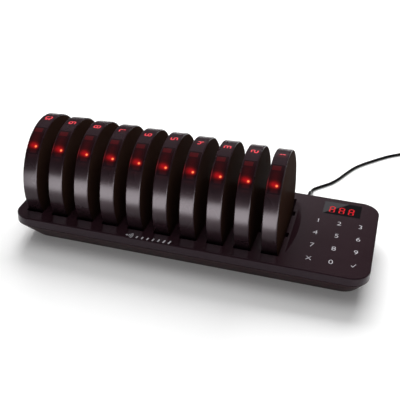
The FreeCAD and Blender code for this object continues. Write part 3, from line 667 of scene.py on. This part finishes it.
def segment_strokes(letters, size, gap, slant=0.0):
    """Start and end of each lit segment, with a small gap at both ends."""
    strokes = []
    for letter in letters:
        start, end = [Vector((p[0] * size[0] / 2, p[1] * size[1] / 2)) for p in SEGMENTS[letter]]
        inwards = (end - start).normalized() * gap
        ends = [(p.x + p.y * slant, p.y) for p in (start + inwards, end - inwards)]
        strokes.append(ends)
    return strokes


NUMBER_MIDDLE = 88.0          # degrees round the rim
NUMBER_ACROSS = 6.1           # millimetres in from the right face
NUMBER_SIZE = (4.1, 5.6)
NUMBER_PITCH = 5.6
NUMBER_HALF = 0.46            # half the width of a stroke
NUMBER_GAP = 0.65             # between a stroke's end and the corner it points at
NUMBER_THICK = 0.05
NUMBER_CLEAR = 0.01           # between a number and the rim


def rim_lay(number):
    """u is a digit's right, backwards round the rim, and v its top, to the left."""
    axes = pager_frame(number)

    def lay(u, v, height):
        angle = math.radians(NUMBER_MIDDLE) + u / PAGER_RADIUS
        radius = PAGER_RADIUS + NUMBER_CLEAR + height
        across = NUMBER_ACROSS + v
        return axes @ (Vector((-across, -radius * math.cos(angle), radius * math.sin(angle))) * MM)

    return lay


def rim_number(number):
    """A pager's lit number, one digit behind the other round the rim."""
    digits = str(number)

    def build(made):
        for place, digit in enumerate(digits):
            shift = (place - (len(digits) - 1) / 2) * NUMBER_PITCH
            for start, end in segment_strokes(DIGITS[digit], NUMBER_SIZE, NUMBER_GAP):
                ends = [(place_u + shift, place_v) for place_u, place_v in (start, end)]
                add_plate(made, stroke_outline(*ends, NUMBER_HALF), rim_lay(number), NUMBER_THICK)

    new_piece(f"pager_{number:02d}_lit_number", build, MATERIALS["lit_number"],
              f"pager_{number:02d}")


DISPLAY_DIGITS_X = (117.5, 126.4, 135.2)
DISPLAY_DIGITS_Y = 41.7
DISPLAY_DIGIT_SIZE = (4.1, 10.2)
DISPLAY_SLANT = 0.04
SEGMENT_HALF = 0.62           # half the width of a segment
SEGMENT_GAP = 0.95
SEGMENT_THICK = 0.04
SEGMENT_SINK = 0.045          # depth of a segment's back under the base's top


def display_digits(name, letters, material):
    """The same segments of all three digits, on the display window."""
    def build(made):
        for x in DISPLAY_DIGITS_X:
            lay = flat_lay(x, DISPLAY_DIGITS_Y, BASE_TOP - SEGMENT_SINK)
            for start, end in segment_strokes(letters, DISPLAY_DIGIT_SIZE, SEGMENT_GAP, DISPLAY_SLANT):
                add_plate(made, stroke_outline(start, end, SEGMENT_HALF), lay, SEGMENT_THICK)

    new_piece(name, build, material, "base")


PRINT_LOW = 0.005             # a printed mark's underside and top, over the base's top
PRINT_HIGH = 0.03
LETTER_THINNING = -0.012      # the letter's outline drawn in, as a share of the type size
CROSS_SHARE = 0.86            # the cross is smaller than the digits
TICK_STROKES = (((-0.28, -0.02), (-0.1, -0.36)), ((-0.1, -0.36), (0.3, 0.44)))
TICK_HALF = 0.042


def text_piece(name, letter, x, y, high):
    """A printed letter, centred on its key and as high as asked."""
    data = bpy.data.curves.new(name, "FONT")
    data.body = letter
    data.align_x = "CENTER"
    data.align_y = "CENTER"
    data.offset = LETTER_THINNING
    data.extrude = 0.01
    data.resolution_u = 4
    drawn = bpy.data.objects.new(name, data)
    bpy.context.collection.objects.link(drawn)
    mesh = bpy.data.meshes.new_from_object(drawn.evaluated_get(bpy.context.evaluated_depsgraph_get()))
    bpy.data.objects.remove(drawn)
    low = Vector([min(v.co[i] for v in mesh.vertices) for i in range(3)])
    top = Vector([max(v.co[i] for v in mesh.vertices) for i in range(3)])
    scale = high * MM / (top.y - low.y)
    middle = (low + top) / 2
    for vertex in mesh.vertices:
        flat = (vertex.co - middle) * scale
        lift = PRINT_HIGH if vertex.co.z > middle.z else PRINT_LOW
        vertex.co = (x * MM + flat.x, y * MM + flat.y, (BASE_TOP + lift) * MM)
    mesh.materials.clear()
    mesh.materials.append(MATERIALS["print"])
    piece = bpy.data.objects.new(name, mesh)
    bpy.context.collection.objects.link(piece)
    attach(piece, "base")


def tick_piece(name, x, y, high):
    """A tick: two joined strokes."""
    lay = flat_lay(x, y, BASE_TOP + PRINT_LOW)

    def build(made):
        for stroke in TICK_STROKES:
            ends = [(u * high, v * high) for u, v in stroke]
            add_plate(made, stroke_outline(*ends, TICK_HALF * high), lay, PRINT_HIGH - PRINT_LOW)

    new_piece(name, build, MATERIALS["print"], "base")


def keypad():
    """The printed mark of each touch key."""
    for row, marks in zip(KEY_ROWS, KEY_MARKS):
        for x, mark in zip(KEY_COLUMNS, marks):
            if mark == "+":
                tick_piece("legend_enter", x, row, LEGEND_HIGH)
            else:
                name = "legend_cancel" if mark == "X" else f"legend_{mark}"
                share = CROSS_SHARE if mark == "X" else 1.0
                text_piece(name, mark, x, row, LEGEND_HIGH * share)


MARK_AT = (-51.0, -58.6)
MARK_THICK = 0.02
MARK_DOT = (0.55, 0.54, 0, 354)            # radius, half width, and the angles it runs between
MARK_WAVES = (2.2, 3.8, 5.4)               # radii
WAVE_HALF = 0.4
WAVE_REACH = 38.0                          # degrees to each side
MARK_BARS = 7
BARS_LEFT = 9.4
BARS_LOW = -1.9
BAR_PITCH = 4.9
BAR_HIGH = 1.8
BAR_GROWTH = 0.3
BAR_SLANT = 0.2
BAR_HALF = 0.72


def arc_outline(radius, half, low, high, steps=14):
    angles = [math.radians(low + (high - low) * step / steps) for step in range(steps + 1)]
    outer = [((radius + half) * math.cos(a), (radius + half) * math.sin(a)) for a in angles]
    inner = [((radius - half) * math.cos(a), (radius - half) * math.sin(a)) for a in reversed(angles)]
    return outer + inner


def front_mark():
    """A plain mark for radio calling, in the front margin: a dot, three waves and a row of bars."""
    lay = flat_lay(*MARK_AT, BASE_TOP + PRINT_LOW)

    def build(made):
        add_plate(made, arc_outline(*MARK_DOT), lay, MARK_THICK)
        for radius in MARK_WAVES:
            add_plate(made, arc_outline(radius, WAVE_HALF, -WAVE_REACH, WAVE_REACH), lay, MARK_THICK)
        for index in range(MARK_BARS):
            left = BARS_LEFT + index * BAR_PITCH
            high = BAR_HIGH + BAR_GROWTH * index
            top = (left + high * BAR_SLANT, BARS_LOW + high)
            add_plate(made, stroke_outline(top, (left, BARS_LOW), BAR_HALF), lay, MARK_THICK)

    new_piece("front_mark", build, MATERIALS["print"], "base")


for number in range(1, PAGER_COUNT + 1):
    rim_number(number)
display_digits("display_digits_lit", "abcefg", MATERIALS["lit_digit"])
display_digits("display_digits_dim", "d", MATERIALS["dim_digit"])
keypad()
front_mark()


# ---- floor and light ----

FLOOR_HALF = 4.0              # metres
FLOOR_PARTS = 8
FLOOR_SOLID = 0.65            # metres from the middle: past this the floor fades into the backdrop
FLOOR_GONE = 1.6


def make_floor():
    """A pale paper floor that fades out far from the object."""
    mesh = bpy.data.meshes.new("floor")
    made = bmesh.new()
    bmesh.ops.create_grid(made, x_segments=FLOOR_PARTS, y_segments=FLOOR_PARTS, size=FLOOR_HALF)
    made.to_mesh(mesh)
    made.free()
    paint = Paint("floor_paper")
    broad = paint.noise(1.5, 2.0)
    paint.set("Base Color", paint.mix(broad, (0.90, 0.90, 0.90, 1), (0.94, 0.94, 0.94, 1)))
    paint.set("Roughness", paint.spread(broad, *NOISE_RANGE, 0.6, 0.8))
    paint.set("Specular IOR Level", 0.0)
    paint.set("Emission Color", (1.0, 1.0, 1.0, 1))
    paint.set("Emission Strength", 0.1)
    length = paint.add("ShaderNodeVectorMath", operation="LENGTH")
    paint.feed(length.inputs[0], paint.place)
    away = length.outputs["Value"]
    paint.set("Alpha", paint.spread(away, FLOOR_SOLID, FLOOR_GONE, 1.0, 0.0, smooth=True))
    mesh.materials.append(paint.material)
    floor = bpy.data.objects.new("floor", mesh)
    bpy.context.collection.objects.link(floor)


def area_light(name, place, aim, size, power, seen_in_gloss=True):
    data = bpy.data.lights.new(name, "AREA")
    data.shape = "RECTANGLE"
    data.size, data.size_y = size
    data.energy = power
    light = bpy.data.objects.new(name, data)
    bpy.context.collection.objects.link(light)
    light.location = place
    light.rotation_euler = (Vector(aim) - Vector(place)).to_track_quat("-Z", "Y").to_euler()
    light.visible_camera = False
    light.visible_glossy = seen_in_gloss
    return light


# The studio's brightness as the object sees it: (share of the turn from the front horizon over
# the top to the back horizon, level).
SKY_LEVELS = ((0.0, 0.45), (0.10, 0.40), (0.17, 0.10), (0.55, 0.06), (0.68, 0.34), (0.76, 0.34),
              (0.82, 0.05), (1.0, 0.045))


def make_sky():
    """A soft studio round the object: pale in front, dim overhead, a soft card high behind."""
    world = bpy.data.worlds.new("studio")
    bpy.context.scene.world = world
    world.use_nodes = True
    nodes, links = world.node_tree.nodes, world.node_tree.links
    background = nodes["Background"]
    place = nodes.new("ShaderNodeTexCoord").outputs["Generated"]
    parts = nodes.new("ShaderNodeSeparateXYZ")
    links.new(place, parts.inputs[0])
    ahead = nodes.new("ShaderNodeMath")
    ahead.operation = "MULTIPLY"
    links.new(parts.outputs[1], ahead.inputs[0])
    ahead.inputs[1].default_value = -1.0
    turn = nodes.new("ShaderNodeMath")
    turn.operation = "ARCTAN2"
    links.new(parts.outputs[2], turn.inputs[0])
    links.new(ahead.outputs[0], turn.inputs[1])
    share = nodes.new("ShaderNodeMath")
    share.operation = "DIVIDE"
    links.new(turn.outputs[0], share.inputs[0])
    share.inputs[1].default_value = math.pi
    ramp = nodes.new("ShaderNodeValToRGB")
    links.new(share.outputs[0], ramp.inputs[0])
    elements = ramp.color_ramp.elements
    elements[0].position = SKY_LEVELS[0][0]
    elements[1].position = SKY_LEVELS[-1][0]
    for position, _ in SKY_LEVELS[1:-1]:
        elements.new(position)
    for element, (_, level) in zip(elements, SKY_LEVELS):
        element.color = (level, level, level, 1)
    links.new(ramp.outputs[0], background.inputs["Color"])
    background.inputs["Strength"].default_value = 1.0
    pale = nodes.new("ShaderNodeBackground")
    pale.inputs["Color"].default_value = (1.0, 1.0, 1.0, 1)
    chooser = nodes.new("ShaderNodeMixShader")
    links.new(nodes.new("ShaderNodeLightPath").outputs["Is Camera Ray"], chooser.inputs[0])
    links.new(background.outputs[0], chooser.inputs[1])
    links.new(pale.outputs[0], chooser.inputs[2])
    links.new(chooser.outputs[0], nodes["World Output"].inputs["Surface"])


CARD_SIZE = 0.5               # metres
CARD_RADIANCE = 0.62
CARD_REACH = 2.2              # its distance from the mirrored camera, over the window's distance
CARD_EDGE_SHARE = 0.655       # where its edge crosses the far side of the display window


def reflection_card():
    """A level soft card, high behind, whose edge shows aslant in the display window."""
    low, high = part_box("display_window")
    near = Vector((low.x, low.y, high.z))
    far = Vector((low.x + (high.x - low.x) * CARD_EDGE_SHARE, high.y, high.z))
    corner = Vector((low.x, high.y, high.z))
    eye = Vector(CAMERA_AT)
    mirrored = Vector((eye.x, eye.y, 2 * high.z - eye.z))
    start, end, beside = [mirrored + (place - mirrored) * CARD_REACH for place in (near, far, corner)]
    along = (end - start).normalized()
    aside = beside - start
    aside = (aside - along * aside.dot(along)).normalized()
    above = along.cross(aside)
    centre = (start + end) / 2 + aside * CARD_SIZE / 2
    power = CARD_RADIANCE * math.pi * CARD_SIZE * CARD_SIZE
    card = area_light("reflection_card", centre, centre - above, (CARD_SIZE, CARD_SIZE), power)
    turn = Matrix((along, aside, above)).transposed().to_4x4()
    card.matrix_world = Matrix.Translation(centre) @ turn
    card.visible_diffuse = False


FRONT_CARD_AT = (0.14, -0.2, 0.05)
FRONT_CARD_AIM = (0.14, 0.0, 0.05)
FRONT_CARD_SIZE = (0.73, 0.096)
FRONT_CARD_POWER = 2.72


def front_card():
    """A low strip in front, seen only in the gloss of the pagers' shells."""
    card = area_light("front_card", FRONT_CARD_AT, FRONT_CARD_AIM, FRONT_CARD_SIZE, FRONT_CARD_POWER)
    card.visible_diffuse = False
    rims = bpy.data.collections.new("front_card_receivers")
    for number in range(1, PAGER_COUNT + 1):
        rims.objects.link(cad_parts[f"pager_{number:02d}_top_shell"])
    card.light_linking.receiver_collection = rims


make_floor()
make_sky()
area_light("overhead_softbox", (-0.1, -0.2, 1.3), (0, 0, 0), (1.4, 1.4), 8.0, seen_in_gloss=False)
area_light("back_softbox", (-0.1, 0.8, 0.95), (0, 0, 0.05), (1.2, 0.8), 20.0, seen_in_gloss=False)
front_card()
reflection_card()
bpy.context.scene.view_settings.view_transform = "Standard"
